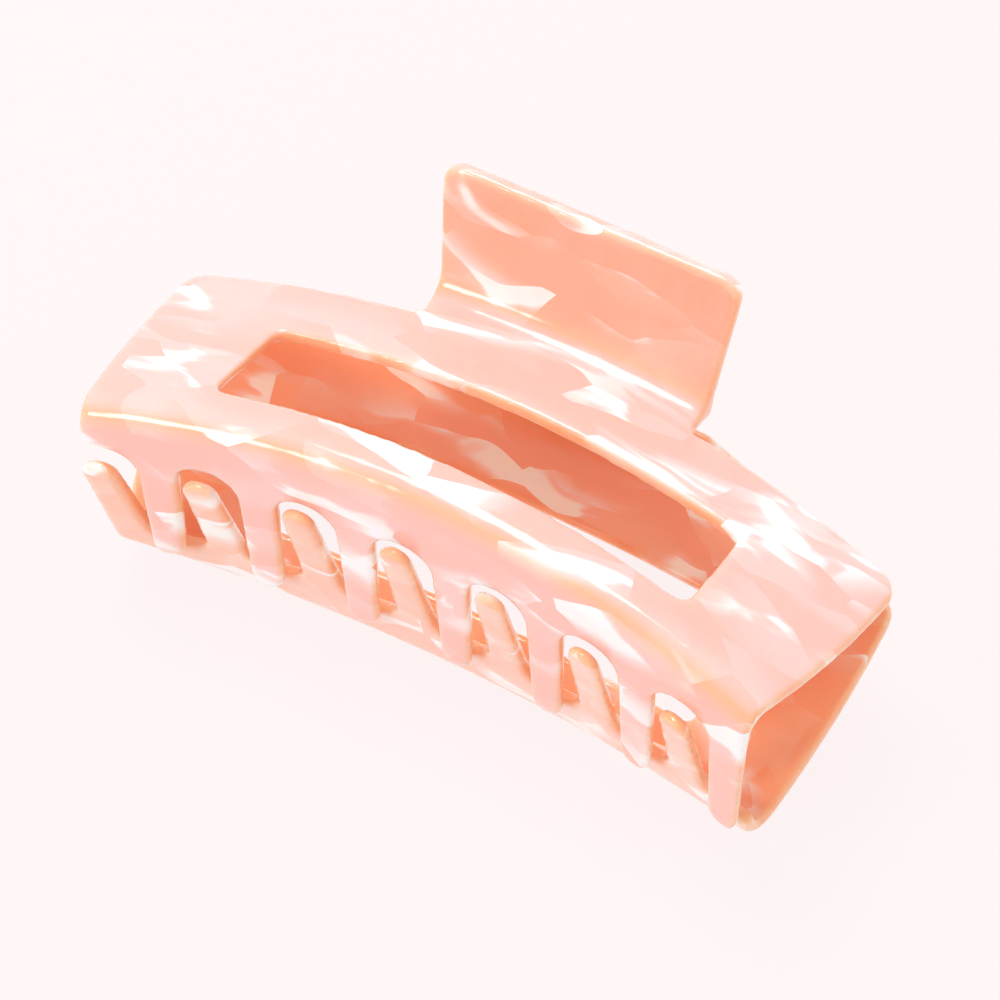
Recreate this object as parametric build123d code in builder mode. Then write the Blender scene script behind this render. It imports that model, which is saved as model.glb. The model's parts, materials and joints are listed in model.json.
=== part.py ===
"""Large rectangular claw clip for hair: two moulded jaws, a steel hinge pin and a torsion spring.

The two jaws are the same moulding. It is modelled once, as the upper jaw, about the hinge axis:
X runs along the pin, Y points back from the teeth to the thumb tabs, and Z points up, with the hinge
axis at y = 0, z = 0. The lower jaw is that moulding turned half a turn about Y. At the end the closed
clip is leaned back until it rests on its lower fold and its lower tab, with the middle of its
underside at the origin.
"""

import os
from math import acos, asin, atan2, cos, degrees, hypot, radians, sin, sqrt, tan

from build123d import *

os.makedirs("parts", exist_ok=True)

# One jaw, on its outer face. Heights are measured from the hinge axis, at mid length.
fold_half_length = 48.9  # half the length of the front fold
rear_half_length = 54.0  # half the length of the panel's rear edge
end_bulge = 1.1  # how far each end of the panel curves out past a straight line
wall = 2.3  # thickness of the moulding
rear_edge_setback = 2.5  # rear edge of the panel, ahead of the hinge axis
rear_edge_height = 9.0
panel_depth = 33.5  # from the rear edge forward to the fold, along Y
panel_rise = 15.0  # how much higher the fold is than the rear edge
fold_radius = 3.6  # outer radius where the panel turns down into the toothed wall
wall_lean = 5.5  # degrees that the toothed wall leans forward
bow_radius = 151.0  # the whole jaw is bowed along its length about one axis, this far from its fold
bow_tilt = 41.7  # degrees between the direction of the bow and the Y axis
rear_corner_radius = 3.0

# The window in the panel. Its long edges follow the bow.
window_half_length = 34.6
window_rear_margin = 10.6  # from the rear edge of the panel to the window, along Y
window_depth = 14.6
window_corner_radius = 1.6

# Teeth along the front wall
tooth_count = 7
tooth_tip_width = 4.6
tooth_root_width = 5.8
tooth_tip_thickness = 1.75  # the wall thins to this, so that each tip passes in front of the other jaw's wall
tooth_tip_height = -12.3  # tips at mid length
tooth_tip_end_rise = 2.8  # how much higher the tips are at the ends of the jaw
tooth_offset = 0.25  # share of a pitch that the row stands to +X, so that two of the same jaw mesh
roundness = 0.98  # of the widest radius that fits the tips and arches, which leaves them a short flat
gap_reach = 0.5  # how far the gaps are cut past the inner face of the front wall
arch_height = 11.0  # tops of the arches between the teeth at mid length
arch_end_rise = 0.6
lip_height = 10.8  # lower edge of the wall beside the first tooth

# Thumb tab
tab_tip_half_width = 22.3
tab_base_half_width = 20.6
tab_lean = 21.3  # degrees back from upright
tab_front_offset = 1.0  # front face ahead of the hinge axis, square to the tab
tab_length = 27.3  # from the hinge axis to the tip, along the tab
tab_corner_radius = 3.0
valley_radius = 4.0  # hollow curve between the panel and the tab

# Hinge
pin_radius = 1.0
pin_head_radius = 1.7
pin_head_thickness = 0.8
bore_clearance = 0.04  # radial, pin to knuckle
knuckle_radius = 3.1
knuckle_width = 3.8
knuckle_gap = 0.4  # between neighbouring knuckles, and from a knuckle to the other jaw

# Spring
wire_radius = 0.55
coil_turns = 8  # whole turns, less the angle between the legs
coil_gap = 0.08  # between neighbouring turns
coil_end_gap = 0.5  # from the coil to the knuckle beside it
leg_length = 13.0
leg_gap = 0.05  # from the end of each leg to the tab that it bears on
leg_stand_off = 0.4  # how much further off the tab each leg is where it leaves the coil
relief_radius = 5.5  # hollow about the spring, which lets each leg pass the other tab when open

# The profile of the moulding, in the YZ plane at mid length
fold_y = -rear_edge_setback - panel_depth
fold_z = rear_edge_height + panel_rise
lean_slope = tan(radians(wall_lean))
panel_slope = panel_rise / panel_depth
overrun = 5.0  # how far cuts and untrimmed stock run past the finished shape
stock_z = tooth_tip_height - overrun
stock_y = fold_y - (fold_z - stock_z) * lean_slope

# Its inner face: a wall's thickness inside the panel, and thinning down the toothed wall
panel_angle = atan2(panel_slope, 1)
thinning = (wall - tooth_tip_thickness) / (fold_z - tooth_tip_height)
inner_slope = lean_slope + thinning
inner_drop = wall / cos(panel_angle)
fold_drop = (panel_slope * wall + inner_drop) / (1 + inner_slope * panel_slope)
inner_fold_y = fold_y + wall - fold_drop * inner_slope
inner_fold_z = fold_z - fold_drop
inner_stock_step = wall - (fold_z - stock_z) * thinning

# The axis that the jaw is bowed about, and where the bow puts the ends of the fold and of the rear edge
bow_y = cos(radians(bow_tilt))
bow_z = sin(radians(bow_tilt))
bow_centre = Vector(0, fold_y - bow_radius * bow_y, fold_z - bow_radius * bow_z)
bow_axis = Axis(bow_centre, (0, -bow_z, bow_y))
rear_bow_radius = bow_radius + panel_depth * bow_y - panel_rise * bow_z
fold_end_y = fold_y - (bow_radius - sqrt(bow_radius**2 - fold_half_length**2)) * bow_y
rear_end_setback = rear_bow_radius - sqrt(rear_bow_radius**2 - rear_half_length**2)
rear_end_y = -rear_edge_setback - rear_end_setback * bow_y
past_rear_y = rear_end_y + wall / 4  # the curve of each end runs this little past the rear edge

# Bowed stock is drawn on the YZ plane swung about the bow axis, past one end of the jaw, and is turned
# to as far past the other end
foot_radius = bow_radius - (fold_y - stock_y) * bow_y - (fold_z - stock_z) * bow_z
bow_half_angle = degrees(asin((rear_half_length + 2 * overrun) / foot_radius))
swing = Axis((0, 0, 0), bow_axis.direction)
bow_start = Plane(
    origin=bow_centre - bow_centre.rotate(swing, -bow_half_angle),
    x_dir=Vector(0, 1, 0).rotate(swing, -bow_half_angle),
    z_dir=Vector(1, 0, 0).rotate(swing, -bow_half_angle),
)

# The thumb tab's front face, with its local Y running up the tab
tab_back = sin(radians(tab_lean))
tab_up = cos(radians(tab_lean))
tab_plane = Plane(
    origin=(0, -tab_front_offset * tab_up, tab_front_offset * tab_back),
    x_dir=(1, 0, 0),
    z_dir=(0, -tab_up, tab_back),
)

# The teeth are spread so that the last one is flush with the end of the fold
first_tooth = tooth_offset - (tooth_count - 1) / 2
last_tooth = tooth_offset + (tooth_count - 1) / 2
tooth_pitch = (fold_half_length - tooth_root_width / 2) / last_tooth

# Outlines of the gaps between the teeth: round arches above, round tooth tips below
arch_radius = (tooth_pitch - tooth_root_width) / 2 * roundness
tip_radius = tooth_tip_width / 2 * roundness
tooth_places = [(first_tooth + place) * tooth_pitch for place in range(tooth_count)]


def panel_height(y):
    """Height of the panel's outer face at mid length."""
    return rear_edge_height - (y + rear_edge_setback) * panel_slope


def tip_height(x):
    """Height of the line through the tooth tips, which rises towards the ends of the jaw."""
    return tooth_tip_height + tooth_tip_end_rise * (x / fold_half_length) ** 2


def arch_top(x):
    """Height of the line through the tops of the arches between the teeth."""
    return arch_height + arch_end_rise * (x / fold_half_length) ** 2


def right_flank(x, top, top_radius):
    """Corners down the right of a tooth at x, from the arch to its rounded tip, each with its radius."""
    return [
        ((x + tooth_root_width / 2, top), top_radius),
        ((x + tooth_tip_width / 2, tip_height(x)), tip_radius),
        ((x, tip_height(x)), 0),
        ((x, stock_z - overrun), 0),
    ]


def left_flank(x, top, top_radius):
    """The same corners for the left of a tooth, in the opposite order."""
    return [
        ((x, stock_z - overrun), 0),
        ((x, tip_height(x)), 0),
        ((x - tooth_tip_width / 2, tip_height(x)), tip_radius),
        ((x - tooth_root_width / 2, top), top_radius),
    ]


# The outlines of everything cut away below the arches
beyond = fold_half_length + overrun
gap_outlines = []
for left, right in zip(tooth_places, tooth_places[1:]):
    top = arch_top((left + right) / 2)
    gap_outlines.append(left_flank(right, top, arch_radius) + right_flank(left, top, arch_radius))
gap_outlines.append(
    left_flank(tooth_places[0], lip_height, arch_radius)
    + [((-beyond, lip_height), 0), ((-beyond, stock_z - overrun), 0)]
)
gap_outlines.append(
    [((beyond, stock_z - overrun), 0), ((beyond, arch_height), 0)]
    + right_flank(tooth_places[-1], arch_height, 0)
)


def square_band(rear_y, front_y):
    """Corners of a band cut square through the panel between two places along it, in the YZ plane."""
    lean = panel_slope * overrun
    return [
        (rear_y + lean, panel_height(rear_y) + overrun),
        (front_y + lean, panel_height(front_y) + overrun),
        (front_y - lean, panel_height(front_y) - overrun),
        (rear_y - lean, panel_height(rear_y) - overrun),
    ]


def tab_point(up, back):
    """A point in the YZ plane, so far up the thumb tab and so far behind its front face."""
    point = tab_plane.origin + tab_plane.y_dir * up - tab_plane.z_dir * back
    return (point.Y, point.Z)


# The window: a band about the bow axis, with square ends
window_rear_y = -rear_edge_setback - window_rear_margin
window_front_y = window_rear_y - window_depth
with BuildPart() as window:
    with BuildSketch(bow_start):
        with BuildLine():
            Polyline(*square_band(window_rear_y, window_front_y), close=True)
        make_face()
    revolve(axis=bow_axis, revolution_arc=2 * bow_half_angle)
    with BuildSketch(Plane.XY):
        with Locations((0, window_front_y)):
            Rectangle(2 * window_half_length, 4 * panel_depth)
    extrude(amount=2 * fold_z, both=True, mode=Mode.INTERSECT)

# How far up the tab's front face the panel meets it
valley_up = (
    rear_edge_height
    - tab_front_offset * tab_back
    - panel_slope * (rear_edge_setback - tab_front_offset * tab_up)
) / (tab_up + panel_slope * tab_back)

# The panel's profile runs back to the thumb tab, and is cut away behind its rear edge on each side of
# the neck that joins them
neck_end_y = tab_point(valley_up, wall / 2)[0]
with BuildPart() as beside_neck:
    with BuildSketch(bow_start):
        with BuildLine():
            Polyline(*square_band(neck_end_y + overrun, -rear_edge_setback), close=True)
        make_face()
    revolve(axis=bow_axis, revolution_arc=2 * bow_half_angle)
    with BuildSketch(Plane.XY):
        Rectangle(2 * tab_base_half_width, 4 * panel_depth)
    extrude(amount=2 * fold_z, both=True, mode=Mode.SUBTRACT)


def corner_edges(moulding, x, y_low):
    """The short edges through the panel's thickness, so far out along X on both sides, behind y_low."""
    through = moulding.edges().filter_by(lambda edge: wall / 2 < edge.length < 1.5 * wall)
    return through.filter_by(lambda edge: abs(abs((edge @ 0.5).X) - x) < wall / 4 and (edge @ 0.5).Y > y_low)


with BuildPart() as shell:
    # The bowed moulding: one profile, turned about the bow axis
    with BuildSketch(bow_start):
        with BuildLine():
            outside = FilletPolyline(
                (neck_end_y, panel_height(neck_end_y)),
                (fold_y, fold_z),
                (stock_y, stock_z),
                radius=fold_radius,
            )
            inside = FilletPolyline(
                (neck_end_y - wall * sin(panel_angle), panel_height(neck_end_y) - wall * cos(panel_angle)),
                (inner_fold_y, inner_fold_z),
                (stock_y + inner_stock_step, stock_z),
                radius=fold_radius - wall,
            )
            Line(outside @ 0, inside @ 0)
            Line(outside @ 1, inside @ 1)
        make_face()
    revolve(axis=bow_axis, revolution_arc=2 * bow_half_angle)

    # Its ends: upright on the toothed wall, slanting and a little convex along the panel
    with BuildSketch(Plane.XY.offset(stock_z - overrun)):
        with BuildLine():
            side_y = (fold_end_y + past_rear_y) / 2
            side_x = (fold_half_length + rear_half_length) / 2 + end_bulge
            front_y = stock_y - panel_depth
            for side in (-1, 1):
                Line((side * fold_half_length, front_y), (side * fold_half_length, fold_end_y))
                ThreePointArc(
                    (side * fold_half_length, fold_end_y),
                    (side * side_x, side_y),
                    (side * rear_half_length, past_rear_y),
                )
                Line((side * rear_half_length, past_rear_y), (side * rear_half_length, panel_depth))
            Line((-fold_half_length, front_y), (fold_half_length, front_y))
            Line((-rear_half_length, panel_depth), (rear_half_length, panel_depth))
        make_face()
    extrude(amount=fold_z - stock_z + 2 * overrun, mode=Mode.INTERSECT)

    # The gaps between the teeth, cut through the front wall only
    with BuildSketch(Plane.XZ.offset(-(fold_y + wall + gap_reach))):
        for outline in gap_outlines:
            with BuildLine():
                corners = [corner for corner, _ in outline]
                FilletPolyline(*corners, radius=[radius for _, radius in outline], close=True)
            make_face()
    extrude(amount=panel_depth, mode=Mode.SUBTRACT)

    add(window.part, mode=Mode.SUBTRACT)
    add(beside_neck.part, mode=Mode.SUBTRACT)

    # Rounded corners of the window and of the panel's rear edge
    fillet(corner_edges(shell, window_half_length, fold_y), window_corner_radius)
    fillet(corner_edges(shell, rear_half_length, rear_end_y - wall), rear_corner_radius)

# The spring's coil round the pin, with a leg along the inside of each thumb tab. Each leg leans
# towards its tab just enough for its end to bear on it.
coil_radius = wall - tab_front_offset + leg_gap + leg_stand_off + wire_radius
leg_angle = tab_lean - degrees(asin(leg_stand_off / leg_length))
coil_pitch = 2 * wire_radius + coil_gap
coil_height = (coil_turns - 2 * leg_angle / 360) * coil_pitch
spring_space = coil_height + 2 * wire_radius + 2 * coil_end_gap

# Where each moulding's own knuckles lie along the pin: one beside the spring, one outside the
# other jaw's, so that two identical mouldings fit together
inner_knuckle_x = (spring_space + knuckle_width) / 2
outer_knuckle_x = inner_knuckle_x + knuckle_width + knuckle_gap
hinge_half_length = outer_knuckle_x + knuckle_width / 2
swept_radius = knuckle_radius + knuckle_gap

with BuildPart() as jaw:
    add(shell.part)

    # The thumb tab, a flat plate down to the clearance round the hinge
    with BuildSketch(tab_plane):
        with BuildLine():
            Polyline(
                (-tab_base_half_width, 0),
                (-tab_base_half_width, valley_up),
                (-tab_tip_half_width, tab_length),
                (tab_tip_half_width, tab_length),
                (tab_base_half_width, valley_up),
                (tab_base_half_width, 0),
                close=True,
            )
        make_face()
        fillet(vertices().group_by(Axis.Y)[-1], tab_corner_radius)
    extrude(amount=-wall)
    with BuildSketch(Plane.YZ):
        Circle(swept_radius)
    extrude(amount=rear_half_length, both=True, mode=Mode.SUBTRACT)
    with BuildSketch(Plane.YZ):
        Circle(relief_radius)
    extrude(amount=spring_space / 2, both=True, mode=Mode.SUBTRACT)

    # The knuckles, each on a block that joins it to the neck and the tab
    for place in (inner_knuckle_x, -outer_knuckle_x):
        with BuildSketch(Plane.YZ.offset(place)):
            Circle(knuckle_radius)
            with BuildLine():
                Polyline(
                    (-knuckle_radius, 0),
                    (-knuckle_radius, panel_height(-knuckle_radius) - wall / 2),
                    tab_point(valley_up - wall / 2, wall),
                    tab_point(0, wall),
                    close=True,
                )
            make_face()
        extrude(amount=knuckle_width / 2, both=True)
    with BuildSketch(Plane.YZ):
        Circle(pin_radius + bore_clearance)
    extrude(amount=rear_half_length, both=True, mode=Mode.SUBTRACT)

    # The hollow curve between the panel and the tab
    in_front_face = jaw.edges().filter_by(lambda edge: abs(tab_plane.to_local_coords(edge @ 0.5).Z) < 0.01)
    long_edges = in_front_face.filter_by(lambda edge: edge.length > tab_base_half_width)
    fillet(long_edges.sort_by(Axis.Z)[0], valley_radius)

with BuildPart() as upper_jaw:
    add(jaw.part)

with BuildPart() as lower_jaw:
    add(jaw.part, rotation=(0, 180, 0))

# The pin, headed at both ends just outside the outer knuckles
with BuildPart() as hinge_pin:
    with BuildSketch(Plane.YZ):
        Circle(pin_radius)
    extrude(amount=hinge_half_length + bore_clearance, both=True)
    for side in (-1, 1):
        with BuildSketch(Plane.YZ.offset(side * (hinge_half_length + bore_clearance))):
            Circle(pin_head_radius)
        extrude(amount=side * pin_head_thickness)

# Wound about Z here, then laid along the pin with its first leg on the lower tab
with BuildPart() as torsion_spring:
    with BuildLine():
        coil = Helix(
            pitch=coil_pitch,
            height=coil_height,
            radius=coil_radius,
            center=(0, 0, -coil_height / 2),
        )
        Line(coil @ 0 - (coil % 0) * leg_length, coil @ 0)
        Line(coil @ 1, coil @ 1 + (coil % 1) * leg_length)
    with BuildSketch(Plane(origin=coil @ 0 - (coil % 0) * leg_length, z_dir=coil % 0)):
        Circle(wire_radius)
    sweep()
torsion_spring.part.move(
    Plane(
        origin=(0, 0, 0),
        x_dir=(0, cos(radians(leg_angle)), sin(radians(leg_angle))),
        z_dir=(1, 0, 0),
    ).location
)

# The closed clip leans back until its lower fold and the tip of its lower tab are at one height.
# The fold is an arc, so its middle is found from the two faces that it joins.
half_turn = (radians(90 - wall_lean) + panel_angle) / 2
fold_bisector = half_turn - panel_angle
fold_reach = fold_radius / cos(half_turn)
centre_y = fold_y + fold_reach * sin(fold_bisector)
centre_z = fold_z - fold_reach * cos(fold_bisector)
tip_y, tip_z = tab_point(tab_length, 0)
rest_lean = degrees(
    atan2(centre_y - tip_y, tip_z - centre_z)
    + acos(fold_radius / hypot(centre_y - tip_y, tip_z - centre_z))
)

leaned = Location((0, 0, 0), (rest_lean, 0, 0))
pieces = [upper_jaw, lower_jaw, hinge_pin, torsion_spring]
for piece in pieces:
    piece.part.move(leaned)
extent = Compound([piece.part for piece in pieces]).bounding_box()
rest_place = Location((0, -extent.center().Y, -extent.min.Z))
for piece in pieces:
    piece.part.move(rest_place)

upper_jaw.part.label = "upper_jaw"
export_step(upper_jaw.part, "parts/upper_jaw.step")
lower_jaw.part.label = "lower_jaw"
export_step(lower_jaw.part, "parts/lower_jaw.step")
hinge_pin.part.label = "hinge_pin"
export_step(hinge_pin.part, "parts/hinge_pin.step")
torsion_spring.part.label = "torsion_spring"
export_step(torsion_spring.part, "parts/torsion_spring.step")

hinge_place = rest_place.position
print(f"The hinge axis is at y = {hinge_place.Y:.4f}, z = {hinge_place.Z:.4f}, leaned {rest_lean:.4f} degrees")
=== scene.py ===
# %% [markdown]
# # A claw clip for hair
# The clip is two mouldings of pearly coral plastic, a steel pin and a spring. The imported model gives
# where every piece is and how it moves. Here each piece is given the rounded edges, the wire and the
# marbled plastic that the real one has. Everything is in metres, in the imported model's own frame.

import json
from math import asin, atan2, cos, pi, radians, sin

import bpy
import numpy as np
from mathutils import Matrix, Vector


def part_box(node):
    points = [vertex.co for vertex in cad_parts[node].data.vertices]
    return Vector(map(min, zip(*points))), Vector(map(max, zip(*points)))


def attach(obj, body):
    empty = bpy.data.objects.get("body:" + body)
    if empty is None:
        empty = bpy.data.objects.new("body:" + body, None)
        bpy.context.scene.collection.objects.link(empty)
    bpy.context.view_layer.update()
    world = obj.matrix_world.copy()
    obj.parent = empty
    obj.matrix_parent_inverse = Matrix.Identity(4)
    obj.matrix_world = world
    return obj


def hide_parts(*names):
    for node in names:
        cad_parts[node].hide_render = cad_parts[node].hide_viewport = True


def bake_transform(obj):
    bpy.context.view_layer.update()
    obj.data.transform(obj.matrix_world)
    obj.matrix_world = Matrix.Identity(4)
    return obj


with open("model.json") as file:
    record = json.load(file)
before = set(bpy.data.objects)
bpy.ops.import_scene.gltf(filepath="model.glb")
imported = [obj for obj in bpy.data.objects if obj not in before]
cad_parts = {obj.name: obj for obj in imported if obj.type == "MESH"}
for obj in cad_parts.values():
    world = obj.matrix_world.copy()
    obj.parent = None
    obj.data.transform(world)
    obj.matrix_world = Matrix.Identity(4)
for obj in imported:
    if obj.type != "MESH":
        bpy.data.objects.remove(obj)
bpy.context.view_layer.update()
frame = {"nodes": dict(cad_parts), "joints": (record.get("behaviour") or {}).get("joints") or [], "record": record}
MM = 0.001

# %% [markdown]
# The closed clip lies leaned back on one fold and one thumb tab. The pattern, the spring and the pin
# are easier to describe about the hinge, with X along the pin, Y back to the tabs and Z up between
# them. The hinge's place is the joint's. The lean and the tabs' own slope come from the two tab
# faces in the record, because one tab is leaned up by as much as the other is leaned down.

# %% The hinge and its lean
hinge = np.array(frame["joints"][0]["pos_m"])
faces = {mount["name"]: mount["axis"] for mount in frame["record"]["mounts"]}
upper_angle = atan2(faces["upper_tab_face"][2], faces["upper_tab_face"][1]) % (2 * pi)
lower_angle = atan2(faces["lower_tab_face"][2], faces["lower_tab_face"][1]) % (2 * pi)
clip_lean = (upper_angle + lower_angle) / 2 - pi
tab_lean = (lower_angle - upper_angle) / 2
print("hinge at", hinge, "lean", round(clip_lean, 4), "tab lean", round(tab_lean, 4))


def turned(vectors, angle):
    """Vectors turned about X: y' = y cos a - z sin a, and z' = y sin a + z cos a."""
    x, y, z = np.moveaxis(vectors, -1, 0)
    return np.stack([x, y * cos(angle) - z * sin(angle), y * sin(angle) + z * cos(angle)], axis=-1)


def from_hinge(points):
    """Points given about the hinge, leaned with the clip and moved to the hinge's place."""
    return turned(points, clip_lean) + hinge


# %% [markdown]
# The camera looks down on the clip from the front right, from half a metre off with a long lens, so
# that the clip's far end is hardly smaller than its near end. It is made first, so that every later
# piece can be looked at.

# %% Camera
AIM = np.array([0.72, -3.82, 23.27]) * MM  # the point in the middle of the view
CAMERA_DISTANCE = 463.0 * MM
CAMERA_AZIMUTH = radians(33.15)  # from straight in front, towards +X
CAMERA_ELEVATION = radians(55.90)
CAMERA_ROLL = radians(-4.13)
FOCAL_LENGTH = 126.2  # mm, on a sensor 36 mm wide

back = np.array([
    sin(CAMERA_AZIMUTH) * cos(CAMERA_ELEVATION),
    -cos(CAMERA_AZIMUTH) * cos(CAMERA_ELEVATION),
    sin(CAMERA_ELEVATION),
])
level = np.array([cos(CAMERA_AZIMUTH), sin(CAMERA_AZIMUTH), 0.0])
upward = np.cross(back, level)
right = cos(CAMERA_ROLL) * level + sin(CAMERA_ROLL) * upward
top = np.cross(back, right)

camera = bpy.data.objects.new("camera", bpy.data.cameras.new("camera"))
camera.data.lens = FOCAL_LENGTH
camera.data.sensor_width = 36.0
camera.data.clip_start = 0.01
camera.matrix_world = Matrix.Translation(Vector(AIM + back * CAMERA_DISTANCE)) @ Matrix(
    np.stack([right, top, back], axis=1).tolist()
).to_4x4()
bpy.context.scene.collection.objects.link(camera)
bpy.context.scene.camera = camera
print("camera at", [round(v, 3) for v in camera.location])

# %% [markdown]
# Two small helpers serve every finish. Colours are written as they look on a screen, and turned into
# the linear light that the shader works in. A node is added with its settings, and with each input
# either set or linked.

# %% Colour and node helpers


def linear(hex_colour):
    """A screen colour such as "#FFAA88" as linear red, green, blue and alpha."""
    channels = np.array([int(hex_colour[i : i + 2], 16) for i in (1, 3, 5)]) / 255
    low, high = channels / 12.92, ((channels + 0.055) / 1.055) ** 2.4
    return (*np.where(channels <= 0.04045, low, high).tolist(), 1.0)


def add_node(tree, kind, settings, inputs):
    """A node of this kind, with attributes set from settings and sockets set or linked from inputs."""
    made = tree.nodes.new(kind)
    for name, value in settings.items():
        setattr(made, name, value)
    for name, value in inputs.items():
        if isinstance(value, bpy.types.NodeSocket):
            tree.links.new(value, made.inputs[name])
        else:
            made.inputs[name].default_value = value
    return made


def new_material(name):
    """An empty material, with its node tree and the shader that its look is set on."""
    material = bpy.data.materials.new(name)
    material.use_nodes = True
    shader = material.node_tree.nodes["Principled BSDF"]
    return material, material.node_tree, shader


print("mid grey #808080 is", [round(channel, 3) for channel in linear("#808080")])

# %% [markdown]
# Pearl plastic is acrylic with flakes of pearl stirred into it. While it flows into the mould the
# flakes lie over in patches, each bright on one side and dull on the other, with a crisp line where
# two patches meet. An image could show this, but a pattern of object coordinates has no seams and
# goes right through the plastic, as the flakes do. First the coordinates are carried a few
# millimetres by a slow swirl, then turned and stretched along the flow. Sizes are in real mm.

# %% The flow of the plastic
SWIRL_SIZE = 20.0  # mm, across one swirl of the flow
SWIRL_REACH = 5.0  # mm, how far the swirl carries the pattern
SWIRL_DETAIL = 1.5
FLOW_TURN = (radians(18), radians(-24), radians(33))
FLOW_STRETCH = (0.5, 1.5, 1.0)
NOISE_MIDDLE = (0.5, 0.5, 0.5)  # a noise's colour is 0.5 on average


def swirled(tree, place):
    """Places carried by a swirl: place + 2 reach (noise - 0.5)."""
    swirl = add_node(tree, "ShaderNodeTexNoise", {}, {
        "Vector": place, "Scale": 1 / (SWIRL_SIZE * MM), "Detail": SWIRL_DETAIL,
    })
    centred = add_node(tree, "ShaderNodeVectorMath", {"operation": "SUBTRACT"}, {
        0: swirl.outputs["Color"], 1: NOISE_MIDDLE,
    })
    carried = add_node(tree, "ShaderNodeVectorMath", {"operation": "MULTIPLY_ADD"}, {
        0: centred.outputs[0], 1: (2 * SWIRL_REACH * MM,) * 3, 2: place,
    })
    return carried.outputs[0]


def along_flow(tree, carried):
    """Carried places, turned and stretched so that patterns come out long along the flow."""
    return add_node(tree, "ShaderNodeMapping", {}, {
        "Vector": carried, "Rotation": FLOW_TURN, "Scale": FLOW_STRETCH,
    }).outputs[0]


print("a swirl is", SWIRL_SIZE, "mm across and carries the pattern", SWIRL_REACH, "mm")

# %% [markdown]
# Three patterns lie over each other. Facets are patches that shade across from dull to bright.
# Veils are soft clouds, and each is cut off where its facet is dull, which gives it one crisp edge
# and one soft one. Threads are thin bright lines where the flow folded over itself.

# %% Facets, veils and threads
FACET_SIZE = 9.5  # mm
FACET_SHADE = 1.1  # mm, how far from a facet's middle its tone is fully bright or fully dull
VEIL_SIZE = 10.0  # mm
VEIL_NOISE = {"Detail": 2.5, "Roughness": 0.5, "Distortion": 0.7}
VEIL_EDGE = {"From Min": 0.475, "From Max": 0.565}
THREAD_SIZE = 6.5  # mm
THREAD_NOISE = {"Detail": 2.0, "Distortion": 0.7}
THREAD_EDGE = {"From Min": 0.62, "From Max": 0.95}


def facet_pattern(tree, flow):
    """Facet tone: (flow - cell's middle) . (cell's random colour - 0.5), as a smooth step from 0 to 1."""
    facets = add_node(tree, "ShaderNodeTexVoronoi", {"feature": "F1"}, {
        "Vector": flow, "Scale": 1 / (FACET_SIZE * MM),
    })
    from_middle = add_node(tree, "ShaderNodeVectorMath", {"operation": "SUBTRACT"}, {
        0: flow, 1: facets.outputs["Position"],
    })
    own_direction = add_node(tree, "ShaderNodeVectorMath", {"operation": "SUBTRACT"}, {
        0: facets.outputs["Color"], 1: NOISE_MIDDLE,
    })
    along = add_node(tree, "ShaderNodeVectorMath", {"operation": "DOT_PRODUCT"}, {
        0: from_middle.outputs[0], 1: own_direction.outputs[0],
    })
    return add_node(tree, "ShaderNodeMapRange", {"interpolation_type": "SMOOTHSTEP"}, {
        "Value": along.outputs["Value"],
        "From Min": -FACET_SHADE * MM, "From Max": FACET_SHADE * MM,
    }).outputs[0]


def veil_pattern(tree, flow, facet):
    """Veils: a smooth step of cloudy noise, times the facet tone."""
    clouds = add_node(tree, "ShaderNodeTexNoise", {}, {
        "Vector": flow, "Scale": 1 / (VEIL_SIZE * MM), **VEIL_NOISE,
    })
    veil = add_node(tree, "ShaderNodeMapRange", {"interpolation_type": "SMOOTHSTEP"}, {
        "Value": clouds.outputs[0], **VEIL_EDGE,
    })
    return add_node(tree, "ShaderNodeMath", {"operation": "MULTIPLY"}, {
        0: veil.outputs[0], 1: facet,
    }).outputs[0]


def thread_pattern(tree, flow):
    """Threads: the crests of ridged noise, as a smooth step."""
    ridges = add_node(tree, "ShaderNodeTexNoise", {"noise_type": "RIDGED_MULTIFRACTAL"}, {
        "Vector": flow, "Scale": 1 / (THREAD_SIZE * MM), **THREAD_NOISE,
    })
    return add_node(tree, "ShaderNodeMapRange", {"interpolation_type": "SMOOTHSTEP"}, {
        "Value": ridges.outputs[0], **THREAD_EDGE,
    }).outputs[0]


print("facets", FACET_SIZE, "mm, veils", VEIL_SIZE, "mm, threads", THREAD_SIZE, "mm")

# %% [markdown]
# The patterns add up to one tone, which picks a colour from two rows of colours: orange ones, the
# plastic's own tones deepened by painted shade, for the inside of the clip, and paler pinker ones,
# painted light, for the outer faces that face the lamps. How much painted light a place gets is an
# attribute of the jaw's own mesh, made further on. Last comes a little apricot where the colour was
# stirred in unevenly.

# %% The plastic's colour
BASE_TONE = 0.14
FACET_SHARE = 0.20
VEIL_SHARE = 0.50
THREAD_SHARE = 0.16
# The last share lifts the tone of faces that face the lamps, as painted light.
PAINTED_LIGHT_SHARE = 0.08
# The inside tones are the plastic's own colours deepened as painted shade; the pale tones are painted light for
# faces that face the lamps.
OWN_AND_PAINTED_SHADE_TONES = ((0.10, "#FFB38A"), (0.35, "#FFC29E"), (0.62, "#FFD6C6"), (0.92, "#FFF8F6"))
PAINTED_LIGHT_TONES = ((0.10, "#FFBAAC"), (0.35, "#FFC7C0"), (0.65, "#FFD8D5"), (0.95, "#FFF9FB"))
APRICOT = "#FFEACC"
APRICOT_SIZE = 22.0  # mm
APRICOT_EDGE = {"From Min": 0.52, "From Max": 0.72, "To Max": 0.18}


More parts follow.
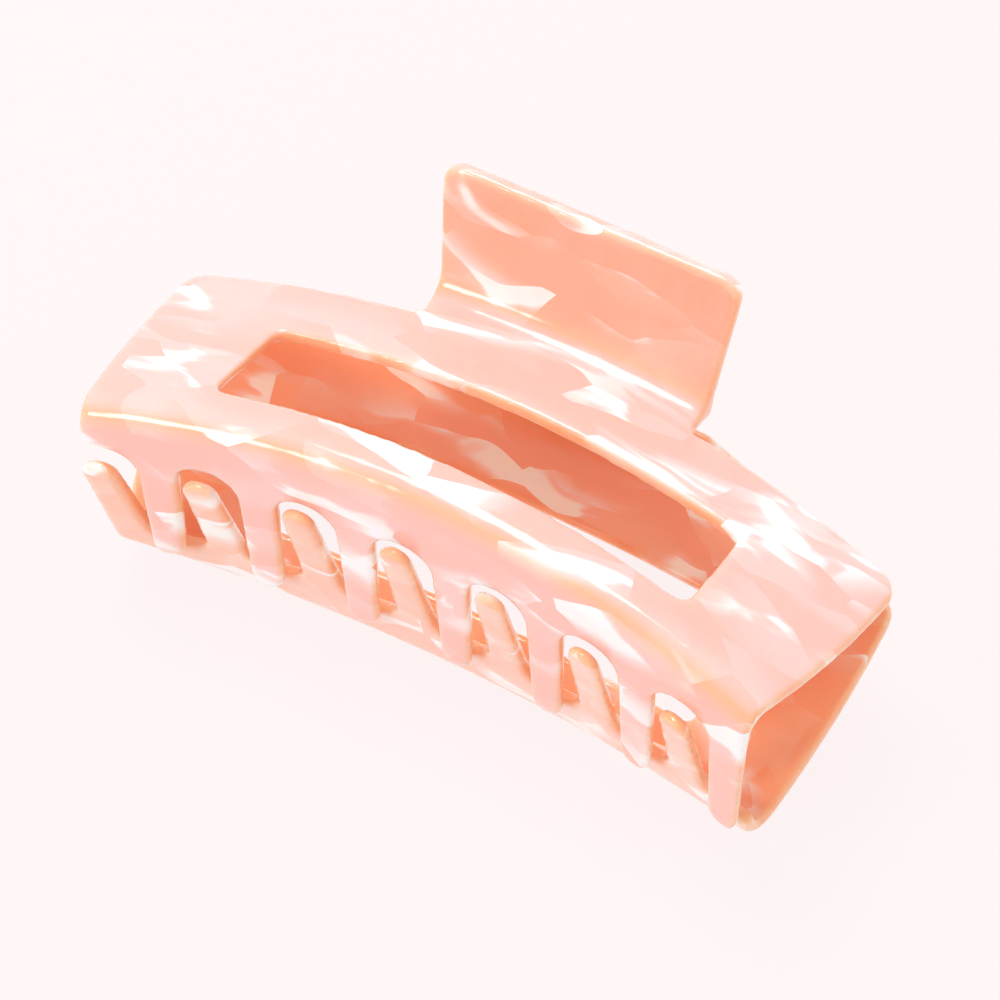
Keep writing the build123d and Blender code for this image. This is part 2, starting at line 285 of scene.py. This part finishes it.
def pearl_tone(tree, flow, painted_light_skin):
    """Tone: base + each pattern times its share."""
    facet = facet_pattern(tree, flow)
    layers = (
        (facet, FACET_SHARE),
        (veil_pattern(tree, flow, facet), VEIL_SHARE),
        (thread_pattern(tree, flow), THREAD_SHARE),
        # Painted light: faces that face the lamps are lifted in tone.
        (painted_light_skin, PAINTED_LIGHT_SHARE),
    )
    tone = BASE_TONE
    for layer, share in layers:
        tone = add_node(tree, "ShaderNodeMath", {"operation": "MULTIPLY_ADD"}, {
            0: layer, 1: share, 2: tone,
        }).outputs[0]
    return tone


def pearl_colour(tree, carried):
    """Colour: inside tones with painted shade, mixed to painted light tones by the painted light attribute, times
    apricot in patches.
    """
    painted_light_skin = add_node(tree, "ShaderNodeAttribute", {"attribute_name": "painted_light_skin"}, {}).outputs["Fac"]
    tone = pearl_tone(tree, along_flow(tree, carried), painted_light_skin)
    picked = []
    for stops in (OWN_AND_PAINTED_SHADE_TONES, PAINTED_LIGHT_TONES):
        ramp = add_node(tree, "ShaderNodeValToRGB", {}, {0: tone})
        while len(ramp.color_ramp.elements) < len(stops):
            ramp.color_ramp.elements.new(0.5)
        for element, (where, colour) in zip(ramp.color_ramp.elements, stops):
            element.position = where
            element.color = linear(colour)
        picked.append(ramp.outputs[0])
    toned = add_node(tree, "ShaderNodeMix", {"data_type": "RGBA"}, {
        "Factor": painted_light_skin, 6: picked[0], 7: picked[1],
    })
    patches = add_node(tree, "ShaderNodeTexNoise", {}, {
        "Vector": carried, "Scale": 1 / (APRICOT_SIZE * MM), "Detail": 1.0,
    })
    patch = add_node(tree, "ShaderNodeMapRange", {"interpolation_type": "SMOOTHSTEP"}, {
        "Value": patches.outputs[0], **APRICOT_EDGE,
    })
    return add_node(tree, "ShaderNodeMix", {"data_type": "RGBA", "blend_type": "MULTIPLY"}, {
        "Factor": patch.outputs[0], 6: toned.outputs[2], 7: linear(APRICOT),
    }).outputs[2]


print("inside", [colour for _, colour in OWN_AND_PAINTED_SHADE_TONES], "painted_light_skin", [colour for _, colour in PAINTED_LIGHT_TONES])

# %% [markdown]
# Acrylic is clear glossy plastic, and the pearl makes it milky, so light goes a few millimetres
# into it and comes out warmer. Subsurface scattering does that, and a thin clear coat gives the
# bright polish. A moulding's polished face is never quite flat, so long low waves break up its
# highlights.

# %% Pearl coral acrylic
WAVE_SIZE = 6.0  # mm
WAVE_HEIGHT = 0.45  # mm
ACRYLIC = {
    "Roughness": 0.16,
    "IOR": 1.49,
    "Subsurface Weight": 0.9,
    "Subsurface Radius": (1.0, 0.62, 0.45),
    "Subsurface Scale": 3.2 * MM,
    "Coat Weight": 0.5,
    "Coat Roughness": 0.04,
}


def pearl_plastic():
    """Moulded pearl acrylic: milky, glossy, and orange where light has come through it."""
    material, tree, shader = new_material("pearl_coral_acrylic_moulded")
    place = add_node(tree, "ShaderNodeTexCoord", {}, {}).outputs["Object"]
    tree.links.new(pearl_colour(tree, swirled(tree, place)), shader.inputs["Base Color"])
    waves = add_node(tree, "ShaderNodeTexNoise", {}, {
        "Vector": place, "Scale": 1 / (WAVE_SIZE * MM), "Detail": 1.5,
    })
    bump = add_node(tree, "ShaderNodeBump", {}, {
        "Height": waves.outputs[0], "Strength": 0.8, "Distance": WAVE_HEIGHT * MM,
    })
    tree.links.new(bump.outputs[0], shader.inputs["Normal"])
    for socket, value in ACRYLIC.items():
        shader.inputs[socket].default_value = value
    return material


plastic = pearl_plastic()
print("made", plastic.name, "with", len(plastic.node_tree.nodes), "nodes")

# %% [markdown]
# Both jaws come out of one mould, so one function makes both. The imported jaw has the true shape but
# knife-sharp edges, and a moulding's edges are polished round. A copy of it is merged, rebuilt as
# even small squares, and then smoothed: at each pass every vertex moves half way to the middle of
# its neighbours, which leaves a flat face flat and melts an edge into a curve. The squares are made
# with the jaw turned to an odd angle, so that none of its faces lies nearly along them, which would
# leave long steps. An even mesh is used rather than a bevel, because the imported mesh's triangles are
# of every size, and smoothing works alike everywhere only on even ones.

# %% A jaw's even mesh
MERGE_REACH = 0.001 * MM
VOXEL = 0.30 * MM
ODD_ANGLE = (
    Matrix.Rotation(radians(31), 4, "X")
    @ Matrix.Rotation(radians(23), 4, "Y")
    @ Matrix.Rotation(radians(37), 4, "Z")
)


def changed(mesh, modifiers):
    """The mesh after modifiers, each given as its kind and its settings."""
    holder = bpy.data.objects.new("holder", mesh)
    bpy.context.scene.collection.objects.link(holder)
    for kind, settings in modifiers.items():
        modifier = holder.modifiers.new(kind, kind)
        for name, value in settings.items():
            setattr(modifier, name, value)
    bpy.context.view_layer.update()
    evaluated = holder.evaluated_get(bpy.context.evaluated_depsgraph_get())
    made = bpy.data.meshes.new_from_object(evaluated)
    bpy.data.objects.remove(holder)
    return made


def even_copy(node):
    """A CAD node's mesh, merged and rebuilt as even squares of one voxel."""
    odd_copy = frame["nodes"][node].data.copy()
    odd_copy.transform(ODD_ANGLE)
    made = changed(odd_copy, {
        "WELD": {"merge_threshold": MERGE_REACH},
        "REMESH": {"voxel_size": VOXEL},
    })
    made.transform(ODD_ANGLE.inverted())
    return made


print("squares of", round(VOXEL / MM, 2), "mm")

# %% [markdown]
# Smoothing is done in numpy rather than with a modifier, because the bore for the pin must stay
# open: after the last pass every vertex nearer the hinge's axis than the bore's wall is moved back
# out to it. Then triangles are merged where the jaw is flat, where they show nothing.

# %% Smoothing
SMOOTH_PASSES = 34
BORE_RADIUS = 1.05 * MM
KEPT_TRIANGLES = 180000  # in each jaw, most of them where it curves


def mesh_arrays(mesh):
    """Vertex places and edge ends of a mesh, as arrays."""
    places = np.empty(len(mesh.vertices) * 3, np.float32)
    mesh.vertices.foreach_get("co", places)
    ends = np.empty(len(mesh.edges) * 2, np.int32)
    mesh.edges.foreach_get("vertices", ends)
    return places.reshape(-1, 3).astype(float), ends.reshape(-1, 2)


def neighbour_mean(values, ends):
    """The mean of each vertex's neighbours: the sum over its edges, divided by how many it has."""
    count = np.bincount(ends.ravel(), minlength=len(values))
    total = np.stack([
        np.bincount(ends[:, 0], values[ends[:, 1], axis], len(values))
        + np.bincount(ends[:, 1], values[ends[:, 0], axis], len(values))
        for axis in range(values.shape[1])
    ], axis=1)
    return total / count[:, None]


def polished(mesh):
    """A mesh with its edges melted round, its bore kept open and its flat places thinned."""
    places, ends = mesh_arrays(mesh)
    for _ in range(SMOOTH_PASSES):
        places += (neighbour_mean(places, ends) - places) / 2
    about = places[:, 1:] - hinge[1:]
    radius = np.linalg.norm(about, axis=1, keepdims=True)
    places[:, 1:] = hinge[1:] + about * np.maximum(1, BORE_RADIUS / radius)
    mesh.vertices.foreach_set("co", places.astype(np.float32).ravel())
    made = changed(mesh, {"DECIMATE": {"ratio": KEPT_TRIANGLES / (2 * len(mesh.polygons))}})
    made.shade_smooth()
    return made


three_on_a_line = np.array([[0.0], [3.0], [12.0]])
print("neighbours' means:", neighbour_mean(three_on_a_line, np.array([[0, 1], [1, 2]])).ravel())

# %% [markdown]
# A jaw's outer faces, which face the lamps, are painted paler than its inside, as painted light, and
# the inside's deeper orange stands in as painted shade for light that has come through the plastic.
# How much painted light a vertex gets is worked out from which way it faces: up off the panel,
# forward off the toothed wall, or off the front of the thumb tab. The lower jaw is the upper one
# turned half a turn about Y, so its x and z change sign first.

# %% Painted light on the outer faces
# Where and how strongly the outer faces get painted light; the wall and the tab face the lamps less squarely and
# get less.
WALL_BACK = -26.0 * MM  # the toothed wall's skin is in front of this
TAB_FRONT = -6.0 * MM  # the thumb tab's skin is behind this
PANEL_NORMAL = np.array([0.0, 0.41, 0.91])
WALL_NORMAL = np.array([0.0, -1.0, 0.1])
WALL_PALENESS = 0.8
TAB_PALENESS = 0.64
PAINTED_LIGHT_STARTS = 0.45  # the facing at which a vertex starts to be skin
PAINTED_LIGHT_RISE = 0.4  # how much more facing makes it skin altogether
PAINTED_LIGHT_PASSES = 4


def painted_light_from_facing(places, normals, turn_over, paleness):
    """How much painted light each vertex gets: facing along the lit face's normal, as a smooth step, times
    paleness.
    """
    own_places = turned(places - hinge, -clip_lean) * turn_over
    own_normals = turned(normals, -clip_lean) * turn_over
    tab_normal = np.array([0.0, -cos(tab_lean), sin(tab_lean)])
    facing = np.maximum.reduce([
        own_normals @ PANEL_NORMAL,
        (own_normals @ WALL_NORMAL) * (own_places[:, 1] < WALL_BACK) * WALL_PALENESS,
        (own_normals @ tab_normal) * (own_places[:, 1] > TAB_FRONT) * TAB_PALENESS,
    ])
    share = np.clip((facing - PAINTED_LIGHT_STARTS) / PAINTED_LIGHT_RISE, 0, 1)
    return paleness * share * share * (3 - 2 * share)


def mark_painted_light(mesh, turn_over, paleness):
    """Write the painted light attribute of a jaw's mesh, blurred a little over neighbouring vertices."""
    places, ends = mesh_arrays(mesh)
    normals = np.empty(len(places) * 3, np.float32)
    mesh.vertices.foreach_get("normal", normals)
    normals = normals.reshape(-1, 3).astype(float)
    painted_light_skin = painted_light_from_facing(places, normals, turn_over, paleness)[:, None]
    for _ in range(PAINTED_LIGHT_PASSES):
        painted_light_skin = (painted_light_skin + neighbour_mean(painted_light_skin, ends)) / 2
    attribute = mesh.attributes.new("painted_light_skin", "FLOAT", "POINT")
    attribute.data.foreach_set("value", painted_light_skin.ravel().astype(np.float32))


print("a panel facing straight up is skin by", painted_light_from_facing(
    hinge[None], np.array([[0.0, 0.0, 1.0]]), np.ones(3), 1.0
).round(2))

# %% [markdown]
# With the steps of the work ready, a jaw is made in a few lines, and both jaws by one function. The
# lower jaw lies in the upper one's shade, so it gets less of the painted light: its deeper colour is painted
# shade.

# %% Both jaws
UPRIGHT = np.array([1.0, 1.0, 1.0])
TURNED_OVER = np.array([-1.0, 1.0, -1.0])
UPPER_PALENESS = 1.0
# Painted shade: the lower jaw, in the upper one's shade, gets less painted light.
LOWER_PALENESS = 0.4


def moulded_jaw(name, node, body, turn_over, paleness):
    """One jaw: an even copy of its node, polished, marked with its painted light and given its plastic."""
    mesh = polished(even_copy(node))
    mark_painted_light(mesh, turn_over, paleness)
    mesh.materials.clear()
    mesh.materials.append(plastic)
    jaw = bpy.data.objects.new(name, mesh)
    bpy.context.scene.collection.objects.link(jaw)
    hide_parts(node)
    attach(jaw, body)
    triangles = len(mesh.loops) - 2 * len(mesh.polygons)
    print(name, "has", len(mesh.vertices), "vertices and", triangles, "triangles")


moulded_jaw("upper_jaw_moulding", "upper_jaw", "upper", UPRIGHT, UPPER_PALENESS)
moulded_jaw("lower_jaw_moulding", "lower_jaw", "lower", TURNED_OVER, LOWER_PALENESS)

# %% [markdown]
# The pin and the spring are steel wire, drawn through a die, which leaves fine lines along it and a
# soft gloss. The spring's wire is plated with nickel, which is a little yellower and smoother.

# %% Steel
DRAW_LINE = 0.12  # mm between drawing lines, coarser than the real ones so that they show
DRAW_DEPTH = 0.02  # mm
DRAW_STRETCH = (0.1, 1.0, 1.0)  # lines are ten times as long along X as they are wide
ROUGHNESS_SPREAD = 0.3  # lines are this much smoother or rougher than the wire as a whole


def drawn_steel(name, colour, roughness):
    """Drawn steel wire: metal with fine lines along X that break up its highlights."""
    material, tree, shader = new_material(name)
    place = add_node(tree, "ShaderNodeTexCoord", {}, {}).outputs["Object"]
    along = add_node(tree, "ShaderNodeMapping", {}, {"Vector": place, "Scale": DRAW_STRETCH})
    lines = add_node(tree, "ShaderNodeTexNoise", {}, {
        "Vector": along.outputs[0], "Scale": 1 / (DRAW_LINE * MM), "Detail": 2.0,
    })
    rough = add_node(tree, "ShaderNodeMapRange", {}, {
        "Value": lines.outputs[0],
        "To Min": roughness * (1 - ROUGHNESS_SPREAD), "To Max": roughness * (1 + ROUGHNESS_SPREAD),
    })
    bump = add_node(tree, "ShaderNodeBump", {}, {
        "Height": lines.outputs[0], "Strength": 0.2, "Distance": DRAW_DEPTH * MM,
    })
    tree.links.new(rough.outputs[0], shader.inputs["Roughness"])
    tree.links.new(bump.outputs[0], shader.inputs["Normal"])
    shader.inputs["Base Color"].default_value = linear(colour)
    shader.inputs["Metallic"].default_value = 1.0
    return material


pin_steel = drawn_steel("bright_steel_drawn", "#C9C8C6", 0.30)
spring_steel = drawn_steel("nickel_plated_spring_wire", "#CFC9BE", 0.22)
print("made", pin_steel.name, "and", spring_steel.name)

# %% [markdown]
# Pin and wire are both round and long, so both are a grid of points: rings along the piece, and
# points round each ring. Squares join each ring to the next one, and a fan of triangles closes the
# first and the last ring to a pole, so that nothing is left open.

# %% A surface over rings


def surface(name, grid, material):
    """A closed mesh over a grid of points, rings by points round, with a pole at each end."""
    rings, around = grid.shape[:2]
    poles = np.stack([grid[0].mean(axis=0), grid[-1].mean(axis=0)])
    points = np.concatenate([grid.reshape(-1, 3), poles])
    ring, step = np.meshgrid(np.arange(rings - 1), np.arange(around), indexing="ij")
    after = (step + 1) % around
    quads = np.stack([
        ring * around + step, ring * around + after,
        (ring + 1) * around + after, (ring + 1) * around + step,
    ], axis=-1).reshape(-1, 4)
    each, following = np.arange(around), np.roll(np.arange(around), -1)
    first_pole, last_pole = rings * around, rings * around + 1
    last = (rings - 1) * around
    first_cap = np.stack([following, each, np.full(around, first_pole)], axis=1)
    last_cap = np.stack([last + each, last + following, np.full(around, last_pole)], axis=1)
    mesh = bpy.data.meshes.new(name)
    mesh.from_pydata(points, [], quads.tolist() + first_cap.tolist() + last_cap.tolist())
    mesh.shade_smooth()
    mesh.materials.append(material)
    made = bpy.data.objects.new(name, mesh)
    bpy.context.scene.collection.objects.link(made)
    print(name, "has", rings, "rings of", around, "points")
    return made


# %% [markdown]
# The pin is a length of wire with a rivet head pressed on each end. It is a profile, radius against
# place along the pin, turned about the hinge: each point is (x, r cos t, r sin t). A head is a
# quarter of an ellipse over a short rim that narrows a little. Half the profile is written, from
# the pin's end to its middle, and the other half is the same mirrored, so both heads are alike.

# %% Hinge pin
pin_low, pin_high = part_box("hinge_pin")
PIN_RADIUS = 1.0 * MM
HEAD_RADIUS = 1.7 * MM
HEAD_THICKNESS = 0.8 * MM
HEAD_DOME = 0.6 * HEAD_THICKNESS  # the rest is the rim
RIM_FOOT_RADIUS = 0.97 * HEAD_RADIUS
HEAD_RINGS = 9
FIRST_RING = 0.03  # of a quarter turn, off the pole
PIN_SIDES = 40
half_pin = (pin_high.x - pin_low.x) / 2

arc = np.linspace(FIRST_RING, 1, HEAD_RINGS) * pi / 2
dome_x = half_pin - HEAD_DOME * (1 - np.cos(arc))
head_foot = half_pin - HEAD_THICKNESS
half_x = np.concatenate([dome_x, [head_foot, head_foot, 0.0]])
half_r = np.concatenate([HEAD_RADIUS * np.sin(arc), [RIM_FOOT_RADIUS, PIN_RADIUS, PIN_RADIUS]])
pin_x = np.concatenate([-half_x, half_x[-2::-1]])
pin_r = np.concatenate([half_r, half_r[-2::-1]])
pin_turn = np.linspace(0, 2 * pi, PIN_SIDES, endpoint=False)
pin_grid = np.stack([
    np.repeat(pin_x[:, None], PIN_SIDES, axis=1),
    pin_r[:, None] * np.cos(pin_turn),
    pin_r[:, None] * np.sin(pin_turn),
], axis=-1)
pin = surface("hinge_pin_rivet", from_hinge(pin_grid), pin_steel)
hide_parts("hinge_pin")
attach(pin, "lower")
print("pin", round(2 * half_pin / MM, 2), "mm long")

# %% [markdown]
# The spring is one wire: a straight leg inside the lower tab, a coil about the pin, and a straight
# leg inside the upper tab. Its path is written once, as arrays, and the round wire is carried along
# it.

# %% The spring's path
WIRE_RADIUS = 0.55 * MM
COIL_RADIUS = 2.3 * MM
COIL_PITCH = 1.18 * MM
COIL_TURNS = 8
LEG_LENGTH = 13.0 * MM
LEG_STAND_OFF = 0.4 * MM
LEG_RINGS = 13
POINTS_A_TURN = 48

leg_angle = tab_lean - asin(LEG_STAND_OFF / LEG_LENGTH)
coil_angle = 2 * pi * COIL_TURNS - 2 * leg_angle
coil_length = coil_angle / (2 * pi) * COIL_PITCH


def wire_path():
    """The wire's centre line: x grows evenly with the coil's angle, and legs leave at a tangent."""
    turn = np.linspace(0, coil_angle, POINTS_A_TURN * COIL_TURNS)
    round_turn = leg_angle + turn
    coil = np.stack([
        -coil_length / 2 + turn / (2 * pi) * COIL_PITCH,
        COIL_RADIUS * np.cos(round_turn),
        COIL_RADIUS * np.sin(round_turn),
    ], axis=1)
    start = coil[0] - coil[1]
    end = coil[-1] - coil[-2]
    along = np.linspace(0, LEG_LENGTH - WIRE_RADIUS, LEG_RINGS + 1)[1:, None]
    lower_leg = coil[0] + along[::-1] * start / np.linalg.norm(start)
    upper_leg = coil[-1] + along * end / np.linalg.norm(end)
    return np.concatenate([lower_leg, coil, upper_leg])


print("spring coil", round(coil_length / MM, 2), "mm long")

# %% [markdown]
# The wire is round, so a ring is put about each point of the path, square to it. A ring needs two
# directions square to the path. The first is also square to X, which never turns over on a coil
# about X, so the rings don't twist. Each end closes in over a few smaller rings as half a ball.

# %% Torsion spring
WIRE_SIDES = 20
BALL_RINGS = 5
BALL_SPAN = (0.1, 0.9)  # of a quarter turn from the pole


def wire_round(path):
    """Rings about a path: each point is centre + r (n cos t + b sin t)."""
    ahead = np.gradient(path, axis=0)
    ahead /= np.linalg.norm(ahead, axis=1, keepdims=True)
    side = np.cross(ahead, np.array([1.0, 0.0, 0.0]))
    side /= np.linalg.norm(side, axis=1, keepdims=True)
    other = np.cross(ahead, side)
    ball = np.linspace(*BALL_SPAN, BALL_RINGS) * pi / 2
    centres = np.concatenate([
        path[0] - ahead[0] * WIRE_RADIUS * np.cos(ball)[:, None],
        path,
        path[-1] + ahead[-1] * WIRE_RADIUS * np.cos(ball)[::-1, None],
    ])
    radii = WIRE_RADIUS * np.concatenate([np.sin(ball), np.ones(len(path)), np.sin(ball)[::-1]])
    side, other = (
        np.concatenate([np.repeat(each[:1], BALL_RINGS, 0), each, np.repeat(each[-1:], BALL_RINGS, 0)])
        for each in (side, other)
    )
    turn = np.linspace(0, 2 * pi, WIRE_SIDES, endpoint=False)[None, :, None]
    ring = side[:, None] * np.cos(turn) + other[:, None] * np.sin(turn)
    return centres[:, None] + radii[:, None, None] * ring


spring = surface("torsion_spring_wire", from_hinge(wire_round(wire_path())), spring_steel)
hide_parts("torsion_spring")
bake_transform(spring)
print("legs", round(LEG_LENGTH / MM, 1), "mm long, wire", round(2 * WIRE_RADIUS / MM, 2), "mm thick")

# %% [markdown]
# The clip lies on the opal glass of a light table, so most of the floor's brightness is its own
# and the shadow is soft and faint.

# %% Floor
FLOOR_HALF = 3.0
FLOOR_OWN_LIGHT = 0.9

floor_material, _, floor_shader = new_material("opal_glass_lit")
OPAL_GLASS = {
    "Base Color": linear("#4E4B4B"),
    "Roughness": 0.9,
    "Specular IOR Level": 0.1,
    "Emission Color": linear("#FFF7F7"),
    "Emission Strength": FLOOR_OWN_LIGHT,
}
for socket, value in OPAL_GLASS.items():
    floor_shader.inputs[socket].default_value = value
corners = [(x * FLOOR_HALF, y * FLOOR_HALF, 0) for x, y in ((-1, -1), (1, -1), (1, 1), (-1, 1))]
floor_mesh = bpy.data.meshes.new("floor")
floor_mesh.from_pydata(corners, [], [(0, 1, 2, 3)])
floor_mesh.materials.append(floor_material)
floor = bpy.data.objects.new("floor", floor_mesh)
bpy.context.scene.collection.objects.link(floor)
print("floor", 2 * FLOOR_HALF, "m across")

# %% [markdown]
# Light comes evenly from all round. One soft light above adds the long highlights along the folds,
# and a smaller one in front gives each tooth its bright spot.

# %% Lights
WORLD_STRENGTH = 0.84
SOFTBOXES = (  # name, place in mm, side in mm, watts
    ("softbox_above", (-150, 120, 700), 300, 2.3),
    ("softbox_front", (-350, -500, 420), 160, 0.9),
)

world = bpy.data.worlds.new("soft_studio")
world.use_nodes = True
world.node_tree.nodes["Background"].inputs["Color"].default_value = linear("#FFFCFB")
world.node_tree.nodes["Background"].inputs["Strength"].default_value = WORLD_STRENGTH
bpy.context.scene.world = world
bpy.context.scene.view_settings.view_transform = "Standard"


def soft_light(name, place_mm, size_mm, watts):
    """A square soft light at a place, turned to face the clip."""
    light = bpy.data.lights.new(name, "AREA")
    light.shape = "SQUARE"
    light.size = size_mm * MM
    light.energy = watts
    made = bpy.data.objects.new(name, light)
    made.location = Vector(place_mm) * MM
    made.rotation_euler = (Vector(AIM) - made.location).to_track_quat("-Z", "Y").to_euler()
    bpy.context.scene.collection.objects.link(made)


for softbox in SOFTBOXES:
    soft_light(*softbox)
print("lights:", [softbox[0] for softbox in SOFTBOXES])
